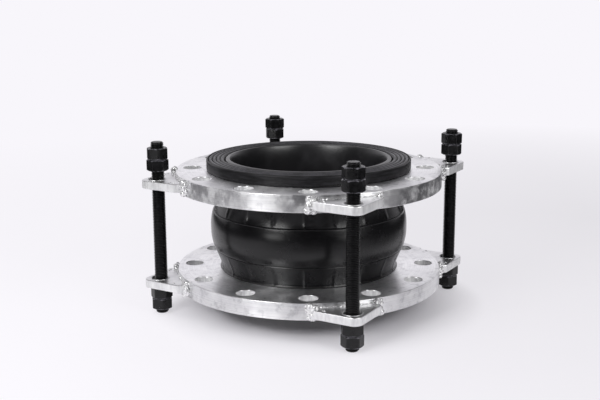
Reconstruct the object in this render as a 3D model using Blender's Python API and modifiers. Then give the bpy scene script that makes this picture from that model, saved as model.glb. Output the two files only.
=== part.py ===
"""Single-arch rubber expansion joint with two steel flanges and four limit rods.

Metres, +Z up. The origin is on the pipe axis, on the plane that the four rod ends stand on.
The front of the joint is towards -Y, and the rods stand on the X and Y axes.
"""
import math

import bmesh
import bpy
from mathutils import Matrix

MM = 0.001
CLEARANCE = 0.3 * MM

# Flanges: plain plates for a DN 200 pipe, drilled with twelve bolt holes
FLANGE_RADIUS = 167.5 * MM
FLANGE_THICKNESS = 20.5 * MM
FLANGE_BORE_RADIUS = 112.5 * MM
FLANGE_SPACING = 105.0 * MM
BOLT_CIRCLE_RADIUS = 147.5 * MM
BOLT_HOLE_RADIUS = 11.5 * MM
BOLT_HOLE_COUNT = 12

# Rubber body: a shallow arch between two necks, with a sealing lip outside each flange
LIP_HEIGHT = 13.75 * MM
LIP_RADIUS = 129.0 * MM
LIP_EDGE = 1.0 * MM
NECK_RADIUS = 111.4 * MM
ARCH_RISE = 13.1 * MM
ARCH_HALF = 53.0 * MM
CREST_FLATNESS = 1.3
COVER_THICKNESS = 3.3 * MM
FABRIC_THICKNESS = 5.8 * MM
PIPE_RADIUS = 96.8 * MM
PIPE_EDGE = 1.5 * MM
LINER_LIP_RADIUS = 105.3 * MM
LIP_FLOOR = 2.0 * MM
LIP_CEILING = 2.6 * MM
FABRIC_FOOT_RADIUS = 121.8 * MM
FABRIC_FOOT_HEIGHT = 2.0 * MM

# Steel ring that stiffens each lip
BEAD_CIRCLE_RADIUS = 117.5 * MM
BEAD_WIRE_RADIUS = 2.85 * MM
BEAD_POCKET_HALF = 3.3 * MM
BEAD_SIDES = 6

# Lugs welded to the rim of each flange, and the weld collar round each lug's root
LUG_THICKNESS = 10.3 * MM
LUG_HALF_WIDTH = 40.0 * MM
LUG_APEX_RADIUS = 214.5 * MM
LUG_TIP_RADIUS = 11.0 * MM
LUG_SIDE_ANGLE = math.radians(45.0)
LUG_HOLE_RADIUS = 10.25 * MM
LUG_RISES = {"upper_right": 3.4 * MM}
WELD_REACH = 6.5 * MM
WELD_HALF_WIDTH = 47.5 * MM
WELD_HALF_HEIGHT = 10.0 * MM
WELD_ROUNDING = 2.2 * MM

# Limit rods: M16 studs, threaded all along, with two nuts under each lower lug and two above each upper lug
ROD_CIRCLE_RADIUS = 192.0 * MM
ROD_LENGTH = 216.0 * MM
ROD_THREAD_RADIUS = 7.85 * MM
ROD_CHAMFER = 1.3 * MM
NUT_HEIGHT = 13.9 * MM
NUT_ACROSS_FLATS = 24.0 * MM
NUT_CHAMFER = 1.1 * MM
ROD_STUB = 5.5 * MM
STOP_GAP = 12.8 * MM

# Hand fitting: how far a rod stands off its place along X, and its top nuts off the stop gap
ROD_SHIFTS = {"front": 0.0, "right": 1.2 * MM, "back": 0.0, "left": 1.6 * MM}
TOP_NUT_SHIFTS = {"front": 0.4 * MM, "right": 0.5 * MM, "back": 1.2 * MM, "left": -1.8 * MM}

# Facets
FLANGE_STEPS = 48
RUBBER_STEPS = 36
ROD_STEPS = 20
HOLE_STEPS = 16
ARCH_STEPS_SHOWN = 7
ARCH_STEPS_HIDDEN = 4
SMOOTH_ANGLE = math.radians(35.0)

# Heights above the floor, worked up from the rod ends
LOWER_JAM_NUT_Z = ROD_STUB + NUT_HEIGHT / 2
LOWER_NUT_Z = LOWER_JAM_NUT_Z + NUT_HEIGHT + CLEARANCE
LOWER_END_Z = LOWER_NUT_Z + NUT_HEIGHT / 2 + CLEARANCE + LUG_THICKNESS / 2
UPPER_END_Z = LOWER_END_Z + FLANGE_THICKNESS + FLANGE_SPACING
MIDDLE_Z = (LOWER_END_Z + UPPER_END_Z) / 2
UPPER_NUT_Z = UPPER_END_Z + LUG_THICKNESS / 2 + STOP_GAP + NUT_HEIGHT / 2
UPPER_JAM_NUT_Z = UPPER_NUT_Z + NUT_HEIGHT + CLEARANCE

# Heights of the lip above the middle plane
FLANGE_FACE = FLANGE_SPACING / 2 + FLANGE_THICKNESS
LIP_LOW = FLANGE_FACE + CLEARANCE
LIP_TOP = FLANGE_FACE + LIP_HEIGHT
FOOT_LOW = LIP_LOW + LIP_FLOOR + CLEARANCE
FOOT_TOP = FOOT_LOW + FABRIC_FOOT_HEIGHT
FILLER_LOW = FOOT_TOP + CLEARANCE
POCKET_TOP = LIP_TOP - LIP_CEILING
BEAD_HEIGHT = (FOOT_TOP + POCKET_TOP) / 2

# Radii of the layers at the neck, from the outside in
COVER_INNER = NECK_RADIUS - COVER_THICKNESS
FABRIC_OUTER = COVER_INNER - CLEARANCE
FABRIC_INNER = FABRIC_OUTER - FABRIC_THICKNESS
LINER_OUTER = FABRIC_INNER - CLEARANCE

ROOT_RADIUS = FLANGE_RADIUS + CLEARANCE

# Direction of each rod from the axis, and the turn of its nuts from the lowest to the highest
SIDES = {"front": -90.0, "right": 0.0, "back": 90.0, "left": 180.0}
NUT_TURNS = {
    "front": (46.0, 20.0, 48.0, 30.0),
    "right": (12.0, 33.0, 51.0, 36.0),
    "back": (10.0, 40.0, 25.0, 52.0),
    "left": (25.0, 45.0, 54.0, 29.0),
}


def clear_scene():
    for thing in list(bpy.data.objects):
        bpy.data.objects.remove(thing, do_unlink=True)


def new_collection(name):
    collection = bpy.data.collections.new(name)
    bpy.context.scene.collection.children.link(collection)
    return collection


def new_material(name, colour, roughness, metallic):
    material = bpy.data.materials.new(name)
    material.use_nodes = True
    shader = material.node_tree.nodes["Principled BSDF"]
    shader.inputs["Base Color"].default_value = (*colour, 1.0)
    shader.inputs["Roughness"].default_value = roughness
    shader.inputs["Metallic"].default_value = metallic
    material.diffuse_color = (*colour, 1.0)
    return material


def place(data, name, collection, parent, material, height=0.0, turn=0.0):
    """Add a piece under its parent empty, at a height on the parent's axis and turned about it."""
    piece = bpy.data.objects.new(name, data)
    collection.objects.link(piece)
    piece.parent = parent
    piece.location = (0.0, 0.0, height)
    piece.rotation_euler = (0.0, 0.0, math.radians(turn))
    if material.name not in data.materials:
        data.materials.append(material)
    return piece


def new_empty(name, collection, position):
    empty = bpy.data.objects.new(name, None)
    empty.empty_display_size = 0.03
    empty.location = position
    collection.objects.link(empty)
    return empty


def settled_mesh(source, name):
    """Turn an object and its modifiers into a plain mesh, and remove the object."""
    bpy.context.view_layer.update()
    seen = source.evaluated_get(bpy.context.evaluated_depsgraph_get())
    mesh = bpy.data.meshes.new_from_object(seen)
    mesh.name = name
    shape = bmesh.new()
    shape.from_mesh(mesh)
    bmesh.ops.remove_doubles(shape, verts=shape.verts, dist=0.01 * MM)
    shape.to_mesh(mesh)
    shape.free()
    mesh.shade_smooth()
    mesh.set_sharp_from_angle(angle=SMOOTH_ANGLE)
    bpy.data.objects.remove(source, do_unlink=True)
    return mesh


def new_blank(name, mesh, collection):
    blank = bpy.data.objects.new(name, mesh)
    collection.objects.link(blank)
    return blank


def turned_blank(name, profile, steps, collection, closed=True):
    """Turn a profile of (radius, height) points about Z. It runs down the outer side."""
    points = [(radius, 0.0, height) for radius, height in profile]
    edges = [(i, i + 1) for i in range(len(points) - 1)]
    if closed:
        edges.append((len(points) - 1, 0))
    mesh = bpy.data.meshes.new(name)
    mesh.from_pydata(points, edges, [])
    blank = new_blank(name, mesh, collection)
    screw = blank.modifiers.new("Turn", "SCREW")
    screw.axis = "Z"
    screw.steps = steps
    screw.render_steps = steps
    screw.use_merge_vertices = True
    screw.merge_threshold = 0.01 * MM
    return blank


def cut(blank, cutter):
    boolean = blank.modifiers.new("Cut", "BOOLEAN")
    boolean.operation = "DIFFERENCE"
    boolean.solver = "EXACT"
    boolean.object = cutter


def new_cutter(name, mesh, cutters):
    cutter = new_blank(name, mesh, cutters)
    cutter.hide_render = True
    cutter.display_type = "WIRE"
    return cutter


def mirrored(points):
    return [(radius, -height) for radius, height in reversed(points)]


def arch_points(neck, steps):
    """Points down one layer's surface, from the upper neck over the crest to the lower neck."""
    upper = []
    for i in range(steps, 0, -1):
        share = i / steps
        rise = ARCH_RISE * math.cos(math.pi / 2 * share ** CREST_FLATNESS) ** 2
        upper.append((neck + rise, ARCH_HALF * share))
    return upper + [(neck + ARCH_RISE, 0.0)] + mirrored(upper)


def cover_profile():
    upper_outside = [
        (LINER_LIP_RADIUS + CLEARANCE, LIP_TOP),
        (LIP_RADIUS - LIP_EDGE, LIP_TOP),
        (LIP_RADIUS, LIP_TOP - LIP_EDGE),
        (LIP_RADIUS, LIP_LOW + LIP_EDGE),
        (LIP_RADIUS - LIP_EDGE, LIP_LOW),
        (NECK_RADIUS, LIP_LOW),
    ]
    foot_end = FABRIC_FOOT_RADIUS + CLEARANCE
    pocket_out = BEAD_CIRCLE_RADIUS + BEAD_POCKET_HALF
    pocket_in = BEAD_CIRCLE_RADIUS - BEAD_POCKET_HALF
    upper_inside = [
        (COVER_INNER, LIP_LOW + LIP_FLOOR),
        (foot_end, LIP_LOW + LIP_FLOOR),
        (foot_end, FILLER_LOW),
        (pocket_out, FILLER_LOW),
        (pocket_out, POCKET_TOP),
        (pocket_in, POCKET_TOP),
        (pocket_in, FILLER_LOW),
        (LINER_LIP_RADIUS + CLEARANCE, FILLER_LOW),
    ]
    outside = upper_outside + arch_points(NECK_RADIUS, ARCH_STEPS_SHOWN) + mirrored(upper_outside)
    rising = list(reversed(arch_points(COVER_INNER, ARCH_STEPS_HIDDEN)))
    return outside + mirrored(upper_inside) + rising + upper_inside


def fabric_profile():
    upper_outside = [
        (FABRIC_FOOT_RADIUS, FOOT_TOP),
        (FABRIC_FOOT_RADIUS, FOOT_LOW),
        (FABRIC_OUTER, FOOT_LOW),
    ]
    outside = upper_outside + arch_points(FABRIC_OUTER, ARCH_STEPS_HIDDEN) + mirrored(upper_outside)
    rising = list(reversed(arch_points(FABRIC_INNER, ARCH_STEPS_HIDDEN)))
    return outside + [(FABRIC_INNER, -FOOT_TOP)] + rising + [(FABRIC_INNER, FOOT_TOP)]


def liner_profile():
    upper_outside = [
        (LINER_LIP_RADIUS, LIP_TOP),
        (LINER_LIP_RADIUS, FILLER_LOW),
        (LINER_OUTER, FILLER_LOW),
    ]
    upper_inside = [
        (PIPE_RADIUS, LIP_TOP - PIPE_EDGE),
        (PIPE_RADIUS + PIPE_EDGE, LIP_TOP),
    ]
    outside = upper_outside + arch_points(LINER_OUTER, ARCH_STEPS_HIDDEN) + mirrored(upper_outside)
    rising = list(reversed(arch_points(PIPE_RADIUS, ARCH_STEPS_SHOWN)))
    return outside + mirrored(upper_inside) + rising + upper_inside


def bead_profile():
    """A circle of points, taken clockwise from the top so that it runs down its outer side."""
    points = []
    for i in range(BEAD_SIDES):
        angle = math.radians(90.0) - 2.0 * math.pi * i / BEAD_SIDES
        radius = BEAD_CIRCLE_RADIUS + BEAD_WIRE_RADIUS * math.cos(angle)
        points.append((radius, BEAD_WIRE_RADIUS * math.sin(angle)))
    return points


def flange_mesh(collection, cutters):
    half = FLANGE_THICKNESS / 2
    profile = [
        (FLANGE_RADIUS, half),
        (FLANGE_RADIUS, -half),
        (FLANGE_BORE_RADIUS, -half),
        (FLANGE_BORE_RADIUS, half),
    ]
    blank = turned_blank("flange", profile, FLANGE_STEPS, collection)
    drills = bmesh.new()
    for i in range(BOLT_HOLE_COUNT):
        angle = 2.0 * math.pi * (i + 0.5) / BOLT_HOLE_COUNT
        spot = Matrix.Rotation(angle, 4, "Z") @ Matrix.Translation((BOLT_CIRCLE_RADIUS, 0.0, 0.0))
        bmesh.ops.create_cone(
            drills, cap_ends=True, segments=HOLE_STEPS, radius1=BOLT_HOLE_RADIUS,
            radius2=BOLT_HOLE_RADIUS, depth=2.0 * FLANGE_THICKNESS, matrix=spot)
    mesh = bpy.data.meshes.new("bolt_hole_drills")
    drills.to_mesh(mesh)
    drills.free()
    cut(blank, new_cutter("bolt_hole_drills", mesh, cutters))
    return settled_mesh(blank, "flange")


def arc(centre_x, radius, first, last, steps):
    """Points of an arc about a centre on the X axis, from the first angle to the last."""
    points = []
    for i in range(steps + 1):
        angle = first + (last - first) * i / steps
        points.append((centre_x + radius * math.cos(angle), radius * math.sin(angle)))
    return points


def flat_curve(name, outlines, half_thickness):
    curve = bpy.data.curves.new(name, "CURVE")
    curve.dimensions = "2D"
    curve.fill_mode = "BOTH"
    curve.extrude = half_thickness
    for outline in outlines:
        spline = curve.splines.new("POLY")
        spline.points.add(len(outline) - 1)
        for point, (x, y) in zip(spline.points, outline):
            point.co = (x, y, 0.0, 1.0)
        spline.use_cyclic_u = True
    return curve


def lug_mesh(collection):
    """A plate whose root follows the rim and whose slanted sides meet in a rounded tip."""
    root_angle = math.asin(LUG_HALF_WIDTH / ROOT_RADIUS)
    shoulder = LUG_APEX_RADIUS - LUG_HALF_WIDTH / math.tan(LUG_SIDE_ANGLE)
    tip_centre = LUG_APEX_RADIUS - LUG_TIP_RADIUS / math.sin(LUG_SIDE_ANGLE)
    tip_angle = math.pi / 2 - LUG_SIDE_ANGLE
    outline = arc(0.0, ROOT_RADIUS, root_angle, -root_angle, 8)
    outline.append((shoulder, -LUG_HALF_WIDTH))
    outline += arc(tip_centre, LUG_TIP_RADIUS, -tip_angle, tip_angle, 8)
    outline.append((shoulder, LUG_HALF_WIDTH))
    hole = arc(ROD_CIRCLE_RADIUS, LUG_HOLE_RADIUS, 0.0, 2.0 * math.pi, ROD_STEPS)[:-1]
    curve = flat_curve("lug", [outline, hole], LUG_THICKNESS / 2)
    return settled_mesh(new_blank("lug", curve, collection), "lug")


def weld_mesh(collection, cutters, slot_rise):
    """A bead along the rim, rounded at its edges and ends, with the lug's section cut through it."""
    ridge = ROOT_RADIUS + WELD_REACH / 2
    side_angle = math.asin((WELD_HALF_WIDTH - WELD_REACH / 2) / ROOT_RADIUS)
    end_x = math.sqrt(ridge ** 2 - WELD_HALF_WIDTH ** 2)
    outline = arc(0.0, ROOT_RADIUS, side_angle, -side_angle, 8)
    outline.append((end_x, -WELD_HALF_WIDTH))
    outline += arc(0.0, ROOT_RADIUS + WELD_REACH, -side_angle, side_angle, 8)
    outline.append((end_x, WELD_HALF_WIDTH))
    curve = flat_curve("weld", [outline], WELD_HALF_HEIGHT - WELD_ROUNDING)
    curve.bevel_depth = WELD_ROUNDING
    curve.offset = -WELD_ROUNDING
    curve.bevel_resolution = 0
    bead = new_blank("weld", settled_mesh(new_blank("weld", curve, collection), "weld"), collection)
    slot = bmesh.new()
    size = (6.0 * WELD_REACH, 2.0 * (LUG_HALF_WIDTH + CLEARANCE), LUG_THICKNESS + 2.0 * CLEARANCE)
    spot = Matrix.Translation((ROOT_RADIUS, 0.0, slot_rise)) @ Matrix.Diagonal((*size, 1.0))
    bmesh.ops.create_cube(slot, size=1.0, matrix=spot)
    mesh = bpy.data.meshes.new("lug_slot")
    slot.to_mesh(mesh)
    slot.free()
    cut(bead, new_cutter("lug_slot", mesh, cutters))
    return settled_mesh(bead, "weld")


def rod_mesh(collection):
    profile = [
        (0.0, ROD_LENGTH),
        (ROD_THREAD_RADIUS - ROD_CHAMFER, ROD_LENGTH),
        (ROD_THREAD_RADIUS, ROD_LENGTH - ROD_CHAMFER),
        (ROD_THREAD_RADIUS, ROD_CHAMFER),
        (ROD_THREAD_RADIUS - ROD_CHAMFER, 0.0),
        (0.0, 0.0),
    ]
    return settled_mesh(turned_blank("rod", profile, ROD_STEPS, collection, closed=False), "rod")


def nut_mesh(collection, cutters):
    """A six-sided turned blank with chamfered ends, bored to clear the rod's thread."""
    corner = NUT_ACROSS_FLATS / math.sqrt(3.0)
    end_corner = NUT_ACROSS_FLATS / 2
    half = NUT_HEIGHT / 2
    profile = [
        (0.0, half),
        (end_corner, half),
        (corner, half - NUT_CHAMFER),
        (corner, NUT_CHAMFER - half),
        (end_corner, -half),
        (0.0, -half),
    ]
    blank = turned_blank("nut", profile, 6, collection, closed=False)
    drill = bmesh.new()
    bore = ROD_THREAD_RADIUS + CLEARANCE
    bmesh.ops.create_cone(
        drill, cap_ends=True, segments=ROD_STEPS, radius1=bore, radius2=bore, depth=2.0 * NUT_HEIGHT)
    mesh = bpy.data.meshes.new("nut_drill")
    drill.to_mesh(mesh)
    drill.free()
    cut(blank, new_cutter("nut_drill", mesh, cutters))
    return settled_mesh(blank, "nut")


def build_rubber(parts, lower_end, upper_end):
    layers = (
        ("outer_cover", cover_profile(), new_material("cover_rubber", (0.018, 0.018, 0.02), 0.42, 0.0)),
        ("cord_fabric", fabric_profile(), new_material("cord_fabric", (0.23, 0.19, 0.13), 0.9, 0.0)),
        ("inner_liner", liner_profile(), new_material("liner_rubber", (0.03, 0.03, 0.032), 0.5, 0.0)),
    )
    body = new_empty("rubber_body_frame", parts, (0.0, 0.0, MIDDLE_Z))
    for name, profile, material in layers:
        mesh = settled_mesh(turned_blank(name, profile, RUBBER_STEPS, parts), name)
        place(mesh, name, parts, body, material)
    steel = new_material("bead_wire", (0.45, 0.45, 0.46), 0.4, 1.0)
    ring = settled_mesh(turned_blank("bead_ring", bead_profile(), RUBBER_STEPS, parts), "bead_ring")
    from_flange = BEAD_HEIGHT - FLANGE_SPACING / 2 - FLANGE_THICKNESS / 2
    place(ring, "upper_bead_ring", parts, upper_end, steel, from_flange)
    place(ring, "lower_bead_ring", parts, lower_end, steel, -from_flange)


def build_ends(parts, cutters, ends):
    """Each end is a flange with a lug at every rod and a weld round the root of every lug."""
    zinc = new_material("flange_zinc", (0.72, 0.72, 0.74), 0.32, 1.0)
    plate = new_material("lug_zinc", (0.74, 0.74, 0.75), 0.4, 1.0)
    bead = new_material("weld_zinc", (0.8, 0.8, 0.81), 0.3, 1.0)
    flange = flange_mesh(parts, cutters)
    lug = lug_mesh(parts)
    level_weld = weld_mesh(parts, cutters, 0.0)
    for end_name, end in ends.items():
        place(flange, end_name + "_flange", parts, end, zinc)
        for side, direction in SIDES.items():
            stem = end_name + "_" + side
            rise = LUG_RISES.get(stem, 0.0)
            weld = weld_mesh(parts, cutters, rise / 2) if rise else level_weld
            place(lug, stem + "_lug", parts, end, plate, rise, direction)
            place(weld, stem + "_weld", parts, end, bead, rise / 2, direction)


def build_rods(parts, cutters):
    """Each rod and its four nuts hang under an empty on the rod's own axis."""
    black = new_material("rod_black_oxide", (0.02, 0.02, 0.022), 0.45, 0.6)
    dark = new_material("nut_black_oxide", (0.025, 0.025, 0.027), 0.4, 0.6)
    rod = rod_mesh(parts)
    nut = nut_mesh(parts, cutters)
    heights = {
        "bottom_jam_nut": LOWER_JAM_NUT_Z,
        "bottom_nut": LOWER_NUT_Z,
        "top_nut": UPPER_NUT_Z,
        "top_jam_nut": UPPER_JAM_NUT_Z,
    }
    for side, direction in SIDES.items():
        angle = math.radians(direction)
        out = ROD_CIRCLE_RADIUS * math.cos(angle) + ROD_SHIFTS[side]
        axis = new_empty(side + "_rod_axis", parts, (out, ROD_CIRCLE_RADIUS * math.sin(angle), 0.0))
        place(rod, side + "_rod", parts, axis, black)
        for (name, height), turn in zip(heights.items(), NUT_TURNS[side]):
            shift = TOP_NUT_SHIFTS[side] if name.startswith("top") else 0.0
            place(nut, side + "_" + name, parts, axis, dark, height + shift, turn)


def main():
    clear_scene()
    parts = new_collection("rubber_expansion_joint")
    cutters = new_collection("cutters")
    ends = {
        "lower": new_empty("lower_end_frame", parts, (0.0, 0.0, LOWER_END_Z)),
        "upper": new_empty("upper_end_tilt_axis", parts, (0.0, 0.0, UPPER_END_Z)),
    }
    build_rubber(parts, ends["lower"], ends["upper"])
    build_ends(parts, cutters, ends)
    build_rods(parts, cutters)


main()
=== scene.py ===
"""Looks of a rubber expansion joint with four limit rods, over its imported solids. Metres throughout."""
import math
import random
import bmesh
import bpy
from mathutils import Matrix, Vector


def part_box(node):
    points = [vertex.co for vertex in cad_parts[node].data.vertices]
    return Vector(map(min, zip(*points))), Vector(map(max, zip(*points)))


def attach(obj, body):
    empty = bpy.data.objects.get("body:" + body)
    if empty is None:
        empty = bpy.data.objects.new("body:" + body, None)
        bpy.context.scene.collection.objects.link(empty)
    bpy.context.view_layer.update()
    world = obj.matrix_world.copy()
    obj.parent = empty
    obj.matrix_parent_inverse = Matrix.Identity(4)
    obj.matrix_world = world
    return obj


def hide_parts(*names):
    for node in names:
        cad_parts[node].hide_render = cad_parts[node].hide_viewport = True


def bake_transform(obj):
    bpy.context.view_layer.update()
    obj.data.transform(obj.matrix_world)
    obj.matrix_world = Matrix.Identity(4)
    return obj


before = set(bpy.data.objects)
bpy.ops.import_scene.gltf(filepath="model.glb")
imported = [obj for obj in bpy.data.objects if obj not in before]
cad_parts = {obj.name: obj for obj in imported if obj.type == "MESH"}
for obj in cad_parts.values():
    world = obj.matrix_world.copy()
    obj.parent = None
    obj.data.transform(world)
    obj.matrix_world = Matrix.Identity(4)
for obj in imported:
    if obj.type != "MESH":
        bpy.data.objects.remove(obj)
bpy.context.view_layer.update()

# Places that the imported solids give
SIDES = {"front": -90.0, "right": 0.0, "back": 90.0, "left": 180.0}
ENDS = ("lower", "upper")
FLANGE_BOX = {end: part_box(end + "_flange") for end in ENDS}
LUG_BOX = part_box("lower_right_lug")
COVER_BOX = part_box("outer_cover")
ROD_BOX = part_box("right_rod")
NUT_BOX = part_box("right_top_nut")
FLANGE_RADIUS = FLANGE_BOX["upper"][1].x
FLANGE_THICKNESS = FLANGE_BOX["upper"][1].z - FLANGE_BOX["upper"][0].z
LUG_THICKNESS = LUG_BOX[1].z - LUG_BOX[0].z
MIDDLE = (COVER_BOX[0].z + COVER_BOX[1].z) / 2
ROD_CIRCLE_RADIUS = 0.192
ROD_LENGTH = ROD_BOX[1].z - ROD_BOX[0].z
NUT_HEIGHT = NUT_BOX[1].z - NUT_BOX[0].z

# Flanges, lugs and welds
FLANGE_BORE_RADIUS = 0.1125
BOLT_CIRCLE_RADIUS = 0.1475
BOLT_HOLE_RADIUS = 0.0115
BOLT_HOLES = 12
FLANGE_BEVEL = 0.0006
FLANGE_STEPS = 240
BORE_STEPS = 180
HOLE_STEPS = 40
PLATE_SHARP_DEGREES = 20.0
PLATE_MERGE = 0.00001
WALL_NORMAL = 0.1
EDGE_NORMAL = 0.3
RIM_FADE = (FLANGE_RADIUS - 0.0012, FLANGE_RADIUS - 0.0004)
LUG_HALF_WIDTH = 0.040
LUG_APEX_RADIUS = 0.2145
LUG_TIP_RADIUS = 0.011
LUG_SIDE_ANGLE = math.radians(45.0)
LUG_HOLE_RADIUS = 0.01025
LUG_BEVEL = 0.0008
LUG_SINK = 0.0012
LUG_ROOT_STEPS = 14
LUG_TIP_STEPS = 20
BURR_STEPS = 48
BURR_SIDES = 6
BURR_WIDTH = 0.0016
BURR_HEIGHT = 0.0007
BURR_SINK = 0.0001

# Welds: least and greatest values of thin runs along the seams, lumps at the ends and drops of spatter
RUN_SIZE = (0.0013, 0.0022)
RUN_STEP = (0.0018, 0.0030)
RUN_LIFT = (-0.0009, 0.0002)
RUN_REACH = (-0.0002, 0.0008)
LUMP_SIZE = (0.0024, 0.0044)
LUMP_STEP = (0.0018, 0.0028)
LUMP_LIFT = (-0.001, 0.001)
LUMP_REACH = (0.0, 0.0040)
LUMP_SPREAD = (-0.0050, 0.0040)
LUMPS_PER_STEP = 3
SPATTER_SIZE = (0.0007, 0.0012)
SPATTER_REACH = (0.006, 0.012)
SPATTER_INSET = (0.004, 0.010)
SPATTER_DROPS = 4
BLOB_WIDTH = (0.9, 1.4)
BLOB_HEIGHT = (0.8, 1.15)
WELD_OVER_RIM_FOOT = 0.0025
WELD_UNDER_RIM_TOP = 0.0005
WELD_BELOW_LUG = 0.002
WELD_ABOVE_LUG = 0.0035
WELD_VOXEL = 0.0007
WELD_SMOOTHING = 0.5
WELD_SMOOTHING_ROUNDS = 3
WELD_SHARP_DEGREES = 180.0
WELD_FIRST_SEED = 40
LIGHT_WELD_ENDS = {("upper_front_weld_bead", 1)}
LIGHT_HEFT = 0.6

# Rubber, with heights measured from its middle
LIP_TOP = COVER_BOX[1].z - MIDDLE
LIP_FOOT = 0.0733
LIP_RADIUS = 0.129
LIP_ROUNDING = 0.0018
LIP_FLOOR = 0.0020
LIP_CEILING = 0.0026
NECK_RADIUS = 0.1114
ARCH_RISE = 0.0131
ARCH_HALF = 0.053
CREST_FLATNESS = 1.3
COVER_THICKNESS = 0.0033
FABRIC_THICKNESS = 0.0058
LAYER_GAP = 0.0003
FABRIC_FOOT_RADIUS = 0.1218
FABRIC_FOOT_HEIGHT = 0.0020
BEAD_CIRCLE_RADIUS = 0.1175
BEAD_POCKET_HALF = 0.0033
PIPE_RADIUS = 0.0968
LINER_LIP_RADIUS = 0.1053
LINER_SHOULDER = ((0.1046, 0.0012), (0.1036, 0.0005))
LINER_CROWN_RADIUS = 0.1015
SEAM_GROOVE_RADIUS = 0.1064
MOUTH_WIDENING = 0.0036
MOUTH_DEPTH = 0.021
MOUTH_STEPS = 12
FLARE_RISE = 0.0022
FLARE_START = 0.0475
FLARE_END = 0.0521
PARTINGS = (-0.0252, 0.0218)
PARTING_DEPTH = 0.0007
PARTING_HALF = 0.0008
BAND_STEP = 0.0003
SPLIT_HEIGHT = PARTINGS[1]
MOULD_LINES = 20
MOULD_LINE_START = math.radians(-107.0)
MOULD_LINE_HALF = math.radians(0.50)
MOULD_LINE_RISE = 0.0006
MOULD_LINE_TAPER = 0.006
MOULD_LINE_END = FLARE_END - 0.002
UPPER_RIB_WEIGHT = 0.9
LOWER_RIB_WEIGHT = 0.4
SECTOR_STEPS = 10
LIP_BEADS = (0.1239, 0.1190, 0.1141, 0.1092)
LIP_BEAD_HALF = 0.00245
LIP_BEAD_DEPTH = 0.0021
HEIGHT_STEP = 0.002
LAYER_STEPS = 13
FABRIC_COLUMNS = 120
LINER_COLUMNS = 200
RUBBER_SHARP_DEGREES = 45.0
# Crests of the sealing beads that get a painted highlight in pale lines
PAINTED_CREST_HIGHLIGHT = "crest_highlight"
CREST_HIGHLIGHT_REACH = 0.0001

# Layers of the rubber inside the neck and the lip, worked from the sizes above
COVER_INSIDE = NECK_RADIUS - COVER_THICKNESS
FABRIC_OUTSIDE = COVER_INSIDE - LAYER_GAP
FABRIC_INSIDE = FABRIC_OUTSIDE - FABRIC_THICKNESS
LINER_OUTSIDE = FABRIC_INSIDE - LAYER_GAP
COVER_SEAM_RADIUS = LINER_LIP_RADIUS + LAYER_GAP
FLOOR_TOP = LIP_FOOT + LIP_FLOOR
FOOT_LOW = FLOOR_TOP + LAYER_GAP
FOOT_HIGH = FOOT_LOW + FABRIC_FOOT_HEIGHT
POCKET_LOW = FOOT_HIGH + LAYER_GAP
POCKET_HIGH = LIP_TOP - LIP_CEILING
GROOVE_FLOOR = LIP_TOP - 2.0 * LIP_BEAD_DEPTH

# Rods and nuts
THREAD_RADIUS = 0.0080
THREAD_PITCH = 0.002
THREAD_DEPTH = 0.0010
ROD_END_RADIUS = 0.0065
ROD_COLUMNS = 28
ROD_SHARP_DEGREES = 40.0
ROD_MERGE = 0.000002
THREAD_PHASES = ((0.0, 0.0), (0.125, 0.0), (0.5, 1.0), (0.625, 1.0))
NUT_ACROSS_FLATS = 0.024
NUT_HOLE_RADIUS = 0.0081
NUT_FACE_RADIUS = 0.0115
NUT_CORNER_RADIUS = 0.0134
NUT_CHAMFER_ANGLE = math.radians(30.0)
NUT_COUNTERSINK = 0.0007
NUT_FLAT_STEPS = (-30.0, -28.2, -24.0, -16.0, -8.0, 0.0, 8.0, 16.0, 24.0, 28.2)
NUT_SHARP_DEGREES = 14.0
# Band of the chamfers that gets a painted highlight in grey
NUT_LIT_CHAMFER_HEIGHT = (NUT_HEIGHT / 2 - 0.0006, NUT_HEIGHT / 2 - 0.0002)
NUT_LIT_CHAMFER_REACH = (-0.0003, 0.0001)
NUT_KINDS = ("bottom_jam_nut", "bottom_nut", "top_nut", "top_jam_nut")

# Camera and studio
CAMERA_AZIMUTH = math.radians(-14.7)
CAMERA_DISTANCE = 1.2692
CAMERA_HEIGHT = 0.4127
CAMERA_YAW = math.radians(-0.499)
CAMERA_PITCH = math.radians(12.452)
CAMERA_ROLL = math.radians(-0.205)
CAMERA_LENS = 61.12
SENSOR_WIDTH = 36.0
FLOOR_HALF = 30.0
ROOM_LEVEL = 0.04
BACKDROP_LEVEL = 1.0
CEILING_LEVEL = 0.25
BACKDROP_COLOUR = (0.939, 0.921, 0.965, 1.0)
# Painted light on the floor: a glow that lifts the shadow away from the object, brighter on the left than on
# the right
NEAR_GLOW = 0.72
VEIL_LEFT = 1.11
VEIL_RIGHT = 0.94
LAMP_AIM = (0.0, 0.0, 0.12)
LAMP_DISTANCE = 1.40
LAMP_HEIGHT = 0.84
FOOT_LAMP_HEIGHT = 0.16
KEY_DEGREES = 38.0
FILL_DEGREES = -46.0
TOP_DEGREES = 60.0


def clamp(value):
    """The value, held between 0 and 1."""
    return min(1.0, max(0.0, value))


# Node helpers


def add(tree, kind, inputs=None, **settings):
    """Adds a node. inputs maps socket names or numbers to a value or to another node's output."""
    node = tree.nodes.new(kind)
    for key, value in settings.items():
        setattr(node, key, value)
    for key, value in (inputs or {}).items():
        if isinstance(value, bpy.types.NodeSocket):
            tree.links.new(value, node.inputs[key])
        else:
            node.inputs[key].default_value = value
    return node


def calc(tree, operation, first, second=0.0, third=0.0):
    """The result of a sum on values or on other nodes' outputs."""
    inputs = {0: first, 1: second, 2: third}
    return add(tree, "ShaderNodeMath", inputs, operation=operation).outputs[0]


def weighed(tree, first, first_share, second, second_share):
    """The sum of two values, each times its share."""
    scaled = calc(tree, "MULTIPLY", first, first_share)
    return calc(tree, "MULTIPLY_ADD", second, second_share, scaled)


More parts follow.
